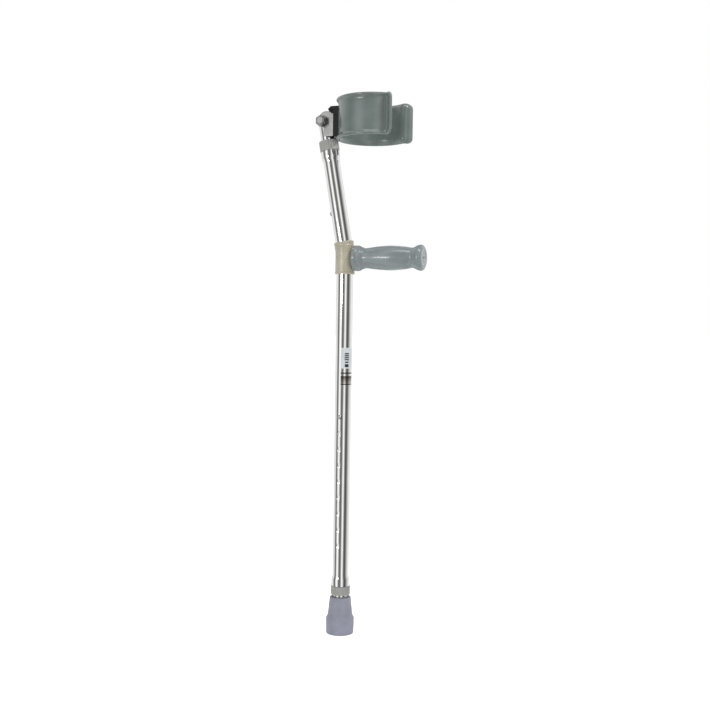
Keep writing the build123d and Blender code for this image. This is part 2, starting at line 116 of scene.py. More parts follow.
def finish_object(piece, body, material, smooth_deg=35, replaces=()):
    """Links a piece, turns its faces outwards, and gives it its body and material."""
    mesh = piece.data
    bm = bmesh.new()
    bm.from_mesh(mesh)
    bmesh.ops.remove_doubles(bm, verts=bm.verts, dist=1e-7)
    bmesh.ops.recalc_face_normals(bm, faces=bm.faces)
    bm.to_mesh(mesh)
    bm.free()
    mesh.polygons.foreach_set("use_smooth", [True] * len(mesh.polygons))
    mesh.set_sharp_from_angle(angle=math.radians(smooth_deg))
    if piece.name not in bpy.context.scene.collection.objects:
        bpy.context.scene.collection.objects.link(piece)
    mesh.materials.clear()
    mesh.materials.append(material)
    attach(piece, body)
    if replaces:
        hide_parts(*replaces)
    return piece


def rounded(points, radius, steps=4):
    """Rounds the corners of an open outline; radius is one value or a list with one for each corner."""
    count = len(points) - 2
    radii = radius if isinstance(radius, (list, tuple)) else [radius] * count
    out = [Vector(points[0])]
    for i in range(1, len(points) - 1):
        corner = Vector(points[i])
        before = Vector(points[i - 1]) - corner
        after = Vector(points[i + 1]) - corner
        r = min(radii[i - 1], before.length * 0.49, after.length * 0.49)
        if r < 1e-6:
            out.append(corner)
            continue
        start = corner + before.normalized() * r
        end = corner + after.normalized() * r
        for k in range(steps + 1):
            t = k / steps
            out.append(start * (1 - t) ** 2 + corner * 2 * t * (1 - t) + end * t ** 2)
    out.append(Vector(points[-1]))
    return out


def ring_loft(rings, closed):
    """Faces between rings of equal length; closed also joins the last ring to the first."""
    n = len(rings[0])
    verts = [v for ring in rings for v in ring]
    faces = []
    pairs = len(rings) if closed else len(rings) - 1
    for i in range(pairs):
        a = i * n
        b = ((i + 1) % len(rings)) * n
        for k in range(n):
            j = (k + 1) % n
            faces.append((a + k, a + j, b + j, b + k))
    return verts, faces


def lathe(profile, origin, axis, side, segments=96, wave=None):
    """Turns (radius, height) points round an axis. wave(radius, height, angle) may change the radius."""
    other = axis.cross(side)
    rings = []
    for r, h in profile:
        ring = []
        for k in range(segments):
            a = 2 * math.pi * k / segments
            rr = wave(r, h, a) if wave else r
            ring.append(origin + axis * h + side * (rr * math.cos(a)) + other * (rr * math.sin(a)))
        rings.append(ring)
    return rings


def turned_piece(name, outline, origin, axis, side, body, material,
                 closed=True, segments=96, wave=None, **more):
    """A turned piece from an outline; an open outline starts and ends on the axis."""
    verts, faces = ring_loft(lathe(outline, origin, axis, side, segments, wave), closed)
    return new_object(name, verts, faces, body, material, **more)


# ---------------------------------------------------------------- material helpers
def node_material(name):
    mat = bpy.data.materials.new(name)
    mat.use_nodes = True
    tree = mat.node_tree
    return mat, tree, tree.nodes["Principled BSDF"]


def add(tree, kind, **values):
    node = tree.nodes.new(kind)
    for key, value in values.items():
        setattr(node, key, value)
    return node


def noise(tree, scale, detail=4.0, rough=0.55, stretch=None):
    """3-D noise in object space, stretched along an axis where wanted."""
    coord = add(tree, "ShaderNodeTexCoord")
    source = coord.outputs["Object"]
    if stretch:
        mapping = add(tree, "ShaderNodeMapping")
        mapping.inputs["Scale"].default_value = stretch
        tree.links.new(source, mapping.inputs["Vector"])
        source = mapping.outputs["Vector"]
    tex = add(tree, "ShaderNodeTexNoise")
    tex.inputs["Scale"].default_value = scale
    tex.inputs["Detail"].default_value = detail
    tex.inputs["Roughness"].default_value = rough
    tree.links.new(source, tex.inputs["Vector"])
    return tex.outputs["Fac"]


def ramp(tree, source, stops):
    """Colour ramp with (position, colour) stops; a number stands for a grey."""
    node = add(tree, "ShaderNodeValToRGB")
    elements = node.color_ramp.elements
    while len(elements) > 1:
        elements.remove(elements[-1])
    for i, (place, colour) in enumerate(stops):
        if not isinstance(colour, (tuple, list)):
            colour = (colour, colour, colour)
        element = elements[0] if i == 0 else elements.new(place)
        element.position = place
        element.color = (*colour, 1.0)
    tree.links.new(source, node.inputs["Fac"])
    return node.outputs["Color"]


def bump(tree, shader, sources):
    """Chains bumps of (height, strength, distance)."""
    normal = None
    for height, strength, distance in sources:
        node = add(tree, "ShaderNodeBump")
        node.inputs["Strength"].default_value = strength
        node.inputs["Distance"].default_value = distance
        tree.links.new(height, node.inputs["Height"])
        if normal:
            tree.links.new(normal, node.inputs["Normal"])
        normal = node.outputs["Normal"]
    tree.links.new(normal, shader.inputs["Normal"])


COAT_ROUGHNESS = 0.12
GRAIN_DEPTH = 0.0004
SCRATCH_DEPTH = 0.0002


def plastic(name, dark, light, rough, grain_scale, grain_strength, mottle_scale=60.0, specular=0.5, coat=0.0):
    """Moulded plastic or vinyl: two close tones in a soft mottle, uneven gloss, and a fine grain."""
    mat, tree, shader = node_material(name)
    mottle = noise(tree, mottle_scale, 3.0)
    colour = ramp(tree, mottle, [(0.3, dark), (0.7, light)])
    tree.links.new(colour, shader.inputs["Base Color"])
    gloss = noise(tree, mottle_scale * 2.3, 4.0)
    tree.links.new(ramp(tree, gloss, [(0.25, rough * 0.8), (0.75, rough * 1.2)]), shader.inputs["Roughness"])
    bump(tree, shader, [(noise(tree, grain_scale, 2.0), grain_strength, GRAIN_DEPTH)])
    shader.inputs["Specular IOR Level"].default_value = specular
    shader.inputs["Coat Weight"].default_value = coat
    shader.inputs["Coat Roughness"].default_value = COAT_ROUGHNESS
    return mat


def metal(name, dark, light, rough_low, rough_high, stretch=(1, 1, 1), scratch=0.02, scale=400.0):
    """Plated or polished metal: slight tone variation and fine scratches drawn out along one axis."""
    mat, tree, shader = node_material(name)
    shader.inputs["Metallic"].default_value = 1.0
    cloud = noise(tree, 35.0, 3.0)
    tree.links.new(ramp(tree, cloud, [(0.3, dark), (0.7, light)]), shader.inputs["Base Color"])
    fine = noise(tree, scale, 3.0, 0.6, stretch)
    tree.links.new(ramp(tree, fine, [(0.3, rough_low), (0.7, rough_high)]), shader.inputs["Roughness"])
    bump(tree, shader, [(fine, scratch, SCRATCH_DEPTH)])
    return mat


def printed_film(name):
    """Clear film on the polished tube, printed with two dark lines and a fading block between them."""
    mat, tree, shader = node_material(name)
    shader.inputs["Metallic"].default_value = 1.0
    shader.inputs["Roughness"].default_value = 0.16
    coord = add(tree, "ShaderNodeTexCoord")
    split = add(tree, "ShaderNodeSeparateXYZ")
    tree.links.new(coord.outputs["Object"], split.inputs[0])
    place = add(tree, "ShaderNodeMapRange")
    place.inputs["From Min"].default_value = low("tube_label").z
    place.inputs["From Max"].default_value = high("tube_label").z
    tree.links.new(split.outputs["Z"], place.inputs["Value"])
    pale, ink, faded = (0.86, 0.85, 0.83), (0.10, 0.085, 0.075), (0.62, 0.58, 0.53)
    stops = [(0.0, pale), (0.085, pale), (0.09, ink), (0.112, ink), (0.117, pale), (0.13, faded), (0.30, ink),
             (0.305, pale), (0.358, pale), (0.363, ink), (0.388, ink), (0.393, pale)]
    tree.links.new(ramp(tree, place.outputs["Result"], stops), shader.inputs["Base Color"])
    bump(tree, shader, [(noise(tree, 250.0, 2.0), 0.04, SCRATCH_DEPTH)])
    return mat


MATERIALS = {
    "tube": metal("polished_tube", (0.84, 0.84, 0.83), (0.92, 0.92, 0.91), 0.05, 0.11, (1, 1, 0.03), 0.03),
    "zinc": metal("zinc_plate", (0.27, 0.27, 0.27), (0.40, 0.40, 0.39), 0.24, 0.38, (1, 1, 1), 0.06),
    "dark_zinc": metal("dark_zinc", (0.14, 0.14, 0.14), (0.24, 0.24, 0.24), 0.24, 0.38, (1, 1, 1), 0.06),
    "spring": metal("spring_steel", (0.40, 0.40, 0.42), (0.55, 0.55, 0.56), 0.25, 0.4),
    "tip": plastic("tip_rubber", (0.185, 0.190, 0.235), (0.240, 0.246, 0.298), 0.48, 900.0, 0.25, 45.0, 0.4),
    "nut": plastic("nut_plastic", (0.225, 0.225, 0.210), (0.300, 0.300, 0.285), 0.38, 700.0, 0.2),
    "bracket": plastic("bracket_plastic", (0.300, 0.282, 0.212), (0.370, 0.345, 0.265), 0.34, 800.0, 0.15,
                       50.0),
    "grip": plastic("grip_plastic", (0.135, 0.160, 0.164), (0.170, 0.197, 0.202), 0.24, 600.0, 0.03, 40.0,
                    0.5, 0.3),
    "cap": plastic("cap_plastic", (0.235, 0.255, 0.255), (0.310, 0.330, 0.330), 0.32, 600.0, 0.1, 60.0),
    "vinyl": plastic("cuff_vinyl", (0.092, 0.116, 0.108), (0.122, 0.148, 0.141), 0.22, 500.0, 0.03, 30.0,
                     0.5, 0.35),
    "black": plastic("black_plastic", (0.003, 0.003, 0.003), (0.008, 0.008, 0.008), 0.46, 900.0, 0.2, 60.0,
                     0.25),
    "white": plastic("white_nylon", (0.62, 0.61, 0.56), (0.72, 0.71, 0.67), 0.4, 600.0, 0.1),
    "film": plastic("label_film", (0.44, 0.47, 0.48), (0.50, 0.53, 0.54), 0.30, 500.0, 0.03, 30.0, 0.5, 0.2),
    "clear_film": printed_film("clear_film"),
    "blue_ink": plastic("blue_ink", (0.010, 0.014, 0.036), (0.018, 0.024, 0.056), 0.45, 500.0, 0.03, 60.0,
                        0.2),
}

NODE_MATERIALS = {
    "leg_tube": "tube", "cuff_tube": "tube", "main_tube": "tube",
    "leg_collet": "white", "cuff_collet": "white", "leg_wedge_ring": "white", "cuff_wedge_ring": "white",
    "leg_lock_nut": "nut", "cuff_lock_nut": "nut", "leg_end_plug": "white", "cuff_end_plug": "white",
    "leg_snap_button": "zinc", "cuff_snap_button": "zinc", "leg_button_spring": "spring",
    "cuff_button_spring": "spring", "tip_washer": "zinc", "tip_rubber": "tip", "pivot_plug": "black",
    "pivot_bolt": "zinc", "pivot_nut": "dark_zinc", "pivot_washers": "zinc", "cuff_bracket": "zinc",
    "cuff_spacer": "black", "cuff_band": "spring", "cuff_cover": "vinyl", "cuff_rivets": "zinc",
    "handle_bracket": "bracket", "handle_grip": "grip", "handle_end_cap": "cap", "handle_core": "spring",
    "handle_washer": "zinc", "handle_bolt": "zinc", "handle_nut": "zinc", "tube_label": "film",
}
for node_name, node_object in frame["nodes"].items():
    node_object.data.materials.clear()
    node_object.data.materials.append(MATERIALS[NODE_MATERIALS[node_name]])


# ---------------------------------------------------------------- more mesh helpers
def applied(piece):
    """Turns a piece's modifiers into its mesh."""
    if piece.name not in bpy.context.scene.collection.objects:
        bpy.context.scene.collection.objects.link(piece)
    bpy.context.view_layer.update()
    graph = bpy.context.evaluated_depsgraph_get()
    mesh = bpy.data.meshes.new_from_object(piece.evaluated_get(graph))
    piece.modifiers.clear()
    piece.data = mesh
    return piece


def cut(piece, verts, faces):
    """Takes a closed cutter shape away from a piece."""
    mesh = bpy.data.meshes.new("cutter")
    mesh.from_pydata([tuple(v) for v in verts], [], faces)
    bm = bmesh.new()
    bm.from_mesh(mesh)
    bmesh.ops.recalc_face_normals(bm, faces=bm.faces)
    bm.to_mesh(mesh)
    bm.free()
    cutter = bpy.data.objects.new("cutter", mesh)
    bpy.context.scene.collection.objects.link(cutter)
    modifier = piece.modifiers.new("cut", "BOOLEAN")
    modifier.operation = "DIFFERENCE"
    modifier.solver = "EXACT"
    modifier.object = cutter
    applied(piece)
    bpy.data.objects.remove(cutter)
    return piece


def cylinder(origin, axis, radius, low_h, high_h, segments=48):
    """Vertices and faces of a capped cylinder along an axis."""
    side = axis.orthogonal().normalized()
    rings = lathe([(radius, low_h), (radius, high_h)], origin, axis, side, segments)
    verts, faces = ring_loft(rings, False)
    faces.append(tuple(range(segments)))
    faces.append(tuple(range(segments, 2 * segments)))
    return verts, faces


def merged(shapes):
    """Joins (vertices, faces) pairs into one."""
    verts, faces = [], []
    for more_verts, more_faces in shapes:
        start = len(verts)
        verts += more_verts
        faces += [tuple(start + i for i in face) for face in more_faces]
    return verts, faces


def raw_object(name, verts, faces):
    """Plain object with its normals turned outwards, before it is a piece."""
    mesh = bpy.data.meshes.new(name)
    mesh.from_pydata([tuple(v) for v in verts], [], faces)
    bm = bmesh.new()
    bm.from_mesh(mesh)
    bmesh.ops.remove_doubles(bm, verts=bm.verts, dist=1e-7)
    bmesh.ops.recalc_face_normals(bm, faces=bm.faces)
    bm.to_mesh(mesh)
    bm.free()
    item = bpy.data.objects.new(name, mesh)
    bpy.context.scene.collection.objects.link(item)
    return item


def smooth_curve(points, steps=6):
    """Catmull-Rom curve through a list of points."""
    points = [Vector(p) for p in points]
    padded = [points[0] * 2 - points[1]] + points + [points[-1] * 2 - points[-2]]
    out = [points[0]]
    for a, b, c, d in zip(padded, padded[1:], padded[2:], padded[3:]):
        for k in range(1, steps + 1):
            t = k / steps
            out.append(0.5 * (2 * b + (c - a) * t + (2 * a - 5 * b + 4 * c - d) * t ** 2
                              + (3 * b - a - 3 * c + d) * t ** 3))
    return out


# ---------------------------------------------------------------- main tube
def section_at(kind, value):
    """Centre and forward direction of the tube: on the lower run, in the bend, or on the leaning run."""
    if kind == "low":
        return Vector((0, 0, value)), Vector((1, 0, 0))
    if kind == "high":
        return bend + lean_axis * value, front_axis
    forward = Vector((math.cos(value), 0, math.sin(value)))
    return Vector((-BEND_R, 0, arc_z)) + forward * BEND_R, forward


def tube_rings(stations, segments=96):
    """Rings from (kind, value, radius) stations."""
    rings = []
    for kind, value, radius in stations:
        centre, forward = section_at(kind, value)
        ring = []
        for k in range(segments):
            a = 2 * math.pi * k / segments
            ring.append(centre + forward * (radius * math.cos(a)) + Vector((0, radius * math.sin(a), 0)))
        rings.append(ring)
    return rings


def bend_stations(radius, steps=14):
    return [("arc", lean * k / steps, radius) for k in range(steps + 1)]


def bell_profile():
    """(radius, distance from the mouth) of the flared end's outside."""
    taper_end = BELL_LEN + BELL_TAPER
    corners = [(SEAT_R, 0), (BELL_R, 0), (BELL_R, BELL_LEN), (TUBE_R, taper_end),
               (TUBE_R, taper_end + 6 * MM)]
    return [(p.x, p.y) for p in rounded(corners, [0.7 * MM, 2.4 * MM, 2.4 * MM], 6)]


def seat_profile():
    """(radius, distance from the mouth) of the flared end's inside."""
    return [(SEAT_R, 0.1 * MM), (SEAT_R, BELL_LEN), (BORE_R, BELL_LEN + 2 * MM)]


def tube_radial(point):
    """Vector from the tube's axis to a point near its surface."""
    along = (point - bend).dot(lean_axis)
    if point.z < arc_z:
        return Vector((point.x, point.y, 0))
    if along > bend_tangent:
        return point - bend - lean_axis * along
    reach = point - Vector((-BEND_R, 0, arc_z))
    flat = math.hypot(reach.x, reach.z)
    return Vector((reach.x, 0, reach.z)) * ((flat - BEND_R) / flat) + Vector((0, point.y, 0))


def polish_normals(mesh):
    """Gives the tube's outside the normals of a round tube, so that reflections run true past the holes."""
    normals = [(0, 0, 0)] * len(mesh.loops)
    for face in mesh.polygons:
        for index in face.loop_indices:
            radial = tube_radial(mesh.vertices[mesh.loops[index].vertex_index].co)
            if abs(radial.length - TUBE_R) < 0.03 * MM and face.normal.dot(radial.normalized()) > 0.9:
                normals[index] = tuple(radial.normalized())
    mesh.normals_split_custom_set(normals)


def main_tube():
    outside = [("low", mouth_z + d, r) for r, d in bell_profile()]
    outside += [("low", z, TUBE_R) for z in (mouth_z + 0.1, mouth_z + 0.25, arc_z - 0.06)]
    outside += bend_stations(TUBE_R)
    outside += [("high", bend_tangent + 0.03, TUBE_R)]
    outside += [("high", mouth_w - d, r) for r, d in reversed(bell_profile())]
    inside = [("high", mouth_w - d, r) for r, d in seat_profile()]
    inside += list(reversed(bend_stations(BORE_R)))
    inside += [("low", mouth_z + d, r) for r, d in reversed(seat_profile())]
    piece = raw_object("main_tube_polished", *ring_loft(tube_rings(outside + inside), True))
    top_hole = (low("leg_snap_button").z + high("leg_snap_button").z) / 2
    rear_place = (low("cuff_snap_button") + high("cuff_snap_button")) / 2
    first_rear = (rear_place - bend).dot(lean_axis)
    cutters = []
    for i in range(9):
        place = Vector((0, 0, top_hole - i * HOLE_PITCH))
        cutters.append(cylinder(place, Vector((0, -1, 0)), HOLE_R, 6 * MM, 16 * MM))
    for i in range(4):
        place = bend + lean_axis * (first_rear + i * HOLE_PITCH)
        cutters.append(cylinder(place, -front_axis, HOLE_R, 6 * MM, 16 * MM))
    cut(piece, *merged(cutters))
    finish_object(piece, "frame", MATERIALS["tube"], 35, ["main_tube"])
    polish_normals(piece.data)


# ---------------------------------------------------------------- rubber tip
def tip():
    top = high("tip_rubber").z / MM
    foot = high("tip_rubber").y / MM
    outline = [(0, 0), (7.8, 0), (7.8, 2), (10.2, 2), (10.2, 0), (14.3, 0), (14.3, 2), (16.7, 2), (16.7, 0),
               (foot - 0.7, 0), (foot, 16), (foot, 25.4), (19.7, 29), (16.7, top),
               (11.16, top), (11.16, 9.5), (0, 9.5)]
    radii = [0.4, 0.3, 0.3, 0.4, 0.4, 0.3, 0.3, 0.4, 2.2, 6.0, 1.5, 2.6, 1.1, 0.5, 0.3]
    profile = [(p.x * MM, p.y * MM) for p in rounded([Vector(p) for p in outline], radii, 5)]
    turned_piece("rubber_tip", profile, Vector((0, 0, 0)), UP, Vector((1, 0, 0)), "leg", MATERIALS["tip"],
                 closed=False, segments=112, replaces=["tip_rubber"], slot="tip_rubber")


# ---------------------------------------------------------------- locking nuts
def lock_nut(name, node, body, mouth, axis, length):
    gap = 0.3 * MM
    corners = [(NUT_CAVITY_R, gap), (NUT_R, gap), (NUT_R, length), (NUT_BORE_R, length),
               (NUT_BORE_R, NUT_CAVITY_LEN), (NUT_CAVITY_R, NUT_CAVITY_LEN)]
    outer = rounded([Vector((14.0 * MM, gap)), *[Vector(c) for c in corners[1:4]],
                     Vector((NUT_BORE_R, length - 1 * MM))],
                    [1.0 * MM, 1.0 * MM, 0.3 * MM], 5)
    stretch = []
    for a, b in zip(outer, outer[1:]):
        parts = max(1, round((b - a).length / (1.2 * MM)))
        stretch += [a.lerp(b, k / parts) for k in range(parts)]
    profile = [(NUT_CAVITY_R, gap), *[(p.x, p.y) for p in stretch], corners[4], corners[5]]

    def ribs(radius, height, angle):
        """Rounded ribs that fade out towards both ends."""
        if radius < NUT_R - 1.1 * MM:
            return radius
        ends = min((height - gap) / (2.2 * MM), (length - height) / (2.2 * MM), 1.0)
        valley = (0.5 - 0.5 * math.cos(NUT_RIBS * angle)) ** 2
        return radius - 0.75 * MM * max(ends, 0.0) * valley

    turned_piece(name, profile, mouth, axis, Vector((0, 1, 0)), body, MATERIALS["nut"], closed=True,
                 segments=NUT_RIBS * 10, wave=ribs, replaces=[node], slot="nut_plastic")


def lock_nuts():
    leg_mouth = Vector((0, 0, mouth_z))
    leg_length = mouth_z - low("leg_lock_nut").z
    lock_nut("leg_nut_ribbed", "leg_lock_nut", "leg_nut", leg_mouth, -UP, leg_length)
    top = high("cuff_lock_nut")
    cuff_length = (top.z - upper_mouth.z - NUT_R * abs(lean_axis.x)) / lean_axis.z
    lock_nut("cuff_nut_ribbed", "cuff_lock_nut", "cuff_nut", upper_mouth, lean_axis, cuff_length)


# ---------------------------------------------------------------- handle bracket
def sleeve_stations(bottom, top_w):
    """Outside of the moulded sleeve: raised bands at both ends and a ridge below the upper band."""
    band = SLEEVE_R + 0.5 * MM
    stations = [("low", bottom, SLEEVE_R - 0.6 * MM), ("low", bottom + 0.5 * MM, band),
                ("low", bottom + 3 * MM, band),
                ("low", bottom + 3.8 * MM, SLEEVE_R)]
    stations += bend_stations(SLEEVE_R)
    for offset, radius in ((8.6, SLEEVE_R), (8.2, band), (7.2, band), (6.8, SLEEVE_R),
                           (4.2, SLEEVE_R), (3.4, band),
                           (0.5, band), (0.0, SLEEVE_R - 0.6 * MM)):
        stations.append(("high", top_w - offset * MM, radius))
    return stations


def handle_bracket():
    """Moulded sleeve and trumpet-shaped flange in one piece, blended where they meet."""
    bottom = low("handle_bracket").z
    flange_x = low("handle_grip").x - 0.1 * MM
    top_w = 15.0 * MM
    stations = sleeve_stations(bottom, top_w)
    rings = tube_rings(stations)
    verts, faces = ring_loft(rings, False)
    n = len(rings[0])
    faces.append(tuple(range(n)))
    faces.append(tuple(range(len(verts) - n, len(verts))))
    trumpet = [(0, 2), (12.5, 2), (13.6, 6), (15.4, 9), (19.0, 11.3), (23.4, 12.6), (25.0, 13.6),
               (25.0, 15.4),
               (24.4, 16.0), (0, 16.0)]
    scale = FLANGE_R / 25.0
    rest_x = flange_x - 16.0 * MM
    turned_rings = lathe([(r * scale * MM, h * MM) for r, h in trumpet], Vector((rest_x, 0, grip_z)),
                         Vector((1, 0, 0)), UP, 96)
    shape = merged([(verts, faces), ring_loft(turned_rings, False)])
    piece = raw_object("handle_bracket_moulded", *shape)
    remesh = piece.modifiers.new("blend", "REMESH")
    remesh.mode = "VOXEL"
    remesh.voxel_size = 0.55 * MM
    soften = piece.modifiers.new("soften", "SMOOTH")
    soften.factor = 0.5
    soften.iterations = 5
    applied(piece)
    bore = 12.78 * MM
    clear = [("low", bottom - 3 * MM, bore), *bend_stations(bore), ("high", top_w + 3 * MM, bore)]
    rings = tube_rings(clear)
    verts, faces = ring_loft(rings, False)
    faces.append(tuple(range(n)))
    faces.append(tuple(range(len(verts) - n, len(verts))))
    cut(piece, verts, faces)
    cut(piece, *cylinder(Vector((0, 0, grip_z)), Vector((1, 0, 0)), 4.3 * MM, 0, 20 * MM))
    finish_object(piece, "frame", MATERIALS["bracket"], 50, ["handle_bracket"])


# ---------------------------------------------------------------- grip and its end cap
def grip():
    """Turned grip: inner flange, waisted and bellied handle, flared end with a recess for the cap."""
    start = low("handle_grip").x / MM
    end = high("handle_grip").x / MM
    collar = [Vector(p) for p in ((8.05, start), (20.0, start), (20.4, start + 5), (19.8, start + 8.6),
                                  (17.9, start + 12))]
    collar = rounded(collar, [1.6, 3.0, 2.6], 6)
    body = smooth_curve([(17.9, start + 12), (16.4, start + 16.5), (15.9, start + 21.5), (17.9, start + 38),
                         (19.3, start + 59), (18.0, start + 80), (15.8, start + 94), (16.3, start + 98.5),
                         (18.5, start + 103), (20.1, start + 107.5), (19.4, start + 111.3), (17.0, end - 0.5),
                         (15.2, end)], 6)
    recess = [Vector(p) for p in ((12.0, end), (12.0, end - 3), (8.05, end - 3))]
    profile = [(p.x * MM, p.y * MM) for p in [*collar, *body[1:], *recess]]
    turned_piece("grip_moulded", profile, Vector((0, 0, grip_z)), Vector((1, 0, 0)), UP, "frame",
                 MATERIALS["grip"],
                 closed=True, segments=112, replaces=["handle_grip"], slot="grip_plastic")


def end_cap():
    """Cap with a raised ring, a dished middle and a ring of small pips round its centre hole."""
    face = high("handle_end_cap").x / MM
    outline = [Vector(p) for p in ((2.4, face - 3), (11.9, face - 3), (11.9, face),
                                     (9.9, face), (9.5, face - 0.7),
                                   (4.4, face - 0.7), (4.0, face - 0.1), (2.4, face - 0.1))]
    profile = rounded([*outline, outline[0]], [0.2, 0.6, 0.2, 0.2, 0.2, 0.2, 0.4], 4)[:-1]
    shapes = [ring_loft(lathe([(p.x * MM, p.y * MM) for p in profile], Vector((0, 0, grip_z)),
                              Vector((1, 0, 0)), UP), True)]
    for k in range(8):
        a = 2 * math.pi * k / 8
        place = Vector(((face - 1.0) * MM, 6.9 * MM * math.cos(a), grip_z + 6.9 * MM * math.sin(a)))
        pip = [(0, 0), (1.1, 0), (1.1, 0.5), (0.8, 0.85), (0, 1.0)]
        shapes.append(ring_loft(lathe([(r * MM, h * MM) for r, h in pip], place, Vector((1, 0, 0)),
                                      UP, 20), False))
    new_object("grip_end_cap", *merged(shapes), "frame", MATERIALS["cap"], 35, ["handle_end_cap"],
               "nut_plastic")


# ---------------------------------------------------------------- label
def curved_patch(angles, heights, radii, across=24, along=10):
    """Closed thin patch wrapped on the lower tube, between two angles, heights and radii."""
    rings = []
    for r, order in ((radii[1], 1), (radii[0], -1)):
        for k in range(across + 1)[::order]:
            a = angles[0] + (angles[1] - angles[0]) * k / across
            rings.append([Vector((r * math.cos(a), r * math.sin(a),
                                  heights[0] + (heights[1] - heights[0]) * j / along))
                          for j in range(along + 1)])
    n = along + 1
    count = across + 1
    verts = [v for ring in rings for v in ring]
    faces = []
    for i in range(len(rings)):
        a, b = i * n, ((i + 1) % len(rings)) * n
        faces += [(a + j, a + j + 1, b + j + 1, b + j) for j in range(along)]
    for k in range(across):
        near, far = k * n, (2 * count - 1 - k) * n
        for end in (0, along):
            faces.append((near + end, near + n + end, far - n + end, far + end))
    return verts, faces


def label():
    """Adhesive label: white film above, clear film below, with plain printed bars and no lettering."""
    bottom, top = low("tube_label").z, high("tube_label").z
    middle = math.radians(-35)
    half = math.radians(53.5)
    span = (middle - half, middle + half)
    split = top - 32.5 * MM
    skin = (TUBE_R + 0.01 * MM, TUBE_R + 0.18 * MM)
    print_skin = (TUBE_R + 0.17 * MM, TUBE_R + 0.22 * MM)
    new_object("label_white_film", *curved_patch(span, (split, top), skin, 60), "frame", MATERIALS["film"],
               35,
               ["tube_label"], "label_film")
    new_object("label_clear_film", *curved_patch(span, (bottom, split), skin, 60), "frame",
               MATERIALS["clear_film"], 35,
               [], "label_film")
    bar_middle = math.radians(-45)
    bar_half = math.radians(16)
    bars = [(9.3, 2.0, 1.0), (12.4, 2.0, 1.0), (15.5, 2.0, 1.0), (18.6, 2.0, 1.0), (22.7, 2.2, 0.85),
            (28.0, 4.8, 0.9)]
    shapes = []
    for down, tall, wide in bars:
        z = top - down * MM
        shapes.append(curved_patch((bar_middle - bar_half * wide, bar_middle + bar_half * wide),
                                   (z - tall * MM / 2, z + tall * MM / 2), print_skin, 16, 2))
    new_object("label_blue_bars", *merged(shapes), "frame", MATERIALS["blue_ink"], 35, [], "label_film")


# ---------------------------------------------------------------- forearm cuff
def cuff_plan():
    """Plan stations of the cuff's wall from lip to lip: (place, outward direction, distance to end)."""
    centre = Vector((cuff_centre.x, 0))
    reach = CUFF_MID_R + NECK_R
    neck = centre + Vector((math.cos(NECK_ANGLE), math.sin(NECK_ANGLE))) * reach
    direction = Vector((math.cos(LIP_ANGLE), math.sin(LIP_ANGLE)))
    outward = Vector((-direction.y, direction.x))
    root = neck - outward * NECK_R
    end_steps = 14
    half = []
    total = LIP_LEN + CUFF_WALL / 2
    for k in range(end_steps + 1):
        d = total * (1 - math.cos(math.pi / 2 * k / end_steps))
        half.append((root + direction * (total - d), outward, d))
    turn_steps = 18
    start = math.atan2(-outward.y, -outward.x)
    finish = NECK_ANGLE + math.pi
    if start < 0:
        start += 2 * math.pi
    for k in range(1, turn_steps + 1):
        a = start + (finish - start) * k / turn_steps
        spoke = Vector((math.cos(a), math.sin(a)))
        half.append((neck + spoke * NECK_R, -spoke, total + NECK_R * abs(a - start)))
    arc_steps = 60
    for k in range(1, arc_steps + 1):
        a = NECK_ANGLE + (math.pi - NECK_ANGLE) * k / arc_steps
        spoke = Vector((math.cos(a), math.sin(a)))
        half.append((centre + spoke * CUFF_MID_R, spoke, 1.0))
    other = [(Vector((p.x, -p.y)), Vector((o.x, -o.y)), d) for p, o, d in reversed(half[:-1])]
    return half + other


def wall_section(distance):
    """Closed section of the wall as (outwards, up): the rims turn out, and it rounds off at a lip's end."""
    half_wall = CUFF_WALL / 2
    thick = half_wall
    if distance < half_wall:
        thick = math.sqrt(max(half_wall ** 2 - (half_wall - distance) ** 2, 0.0))
    top = CUFF_HALF + math.sqrt(FLARE_R ** 2 - (FLARE_R - 3.2 * MM) ** 2)
    if distance < LIP_CORNER_R:
        inset = LIP_CORNER_R - distance
        top -= LIP_CORNER_R - math.sqrt(max(LIP_CORNER_R ** 2 - inset ** 2, 0.0))
    heights = [-1 + 0.025 * k ** 1.4 for k in range(10)]
    heights += [-0.42, -0.14, 0.14, 0.42] + [-h for h in reversed(heights)]
    spine = []
    for share in heights:
        z = share * top
        over = max(abs(z) - CUFF_HALF, 0.0)
        lean_out = FLARE_R - math.sqrt(FLARE_R ** 2 - over ** 2)
        slope = math.copysign(math.asin(over / FLARE_R), z)
        spine.append((lean_out, z, slope))
    outer = [(o + thick * math.cos(s), z - thick * math.sin(s)) for o, z, s in spine]
    inner = [(o - thick * math.cos(s), z + thick * math.sin(s)) for o, z, s in spine]
    loop = list(outer)
    loop += rim_cap(spine[-1], thick, 1)
    loop += reversed(inner)
    loop += rim_cap(spine[0], thick, -1)
    return loop


def rim_cap(end, thick, side):
    """Half circle that rounds a rim off: outer to inner side at the top, and back at the bottom."""
    o, z, slope = end
    out = []
    for k in range(1, 6):
        a = math.pi * k / 6
        across = math.cos(a) * side
        beyond = math.sin(a) * side
        out.append((o + thick * (across * math.cos(slope) + beyond * math.sin(slope)),
                    z + thick * (beyond * math.cos(slope) - across * math.sin(slope))))
    return out


def cuff():
    rings = []
    for place, outward, distance in cuff_plan():
        ring = []
        for out, up in wall_section(distance):
            spot = place + outward * out
            ring.append(Vector((spot.x, spot.y, cuff_centre.z + up)))
        rings.append(ring)
    verts, faces = ring_loft(rings, False)
    n = len(rings[0])
    faces.append(tuple(range(n)))
    faces.append(tuple(range(len(verts) - n, len(verts))))
    new_object("cuff_vinyl_shell", verts, faces, "cuff", MATERIALS["vinyl"], 50, ["cuff_cover"], "cuff_vinyl")


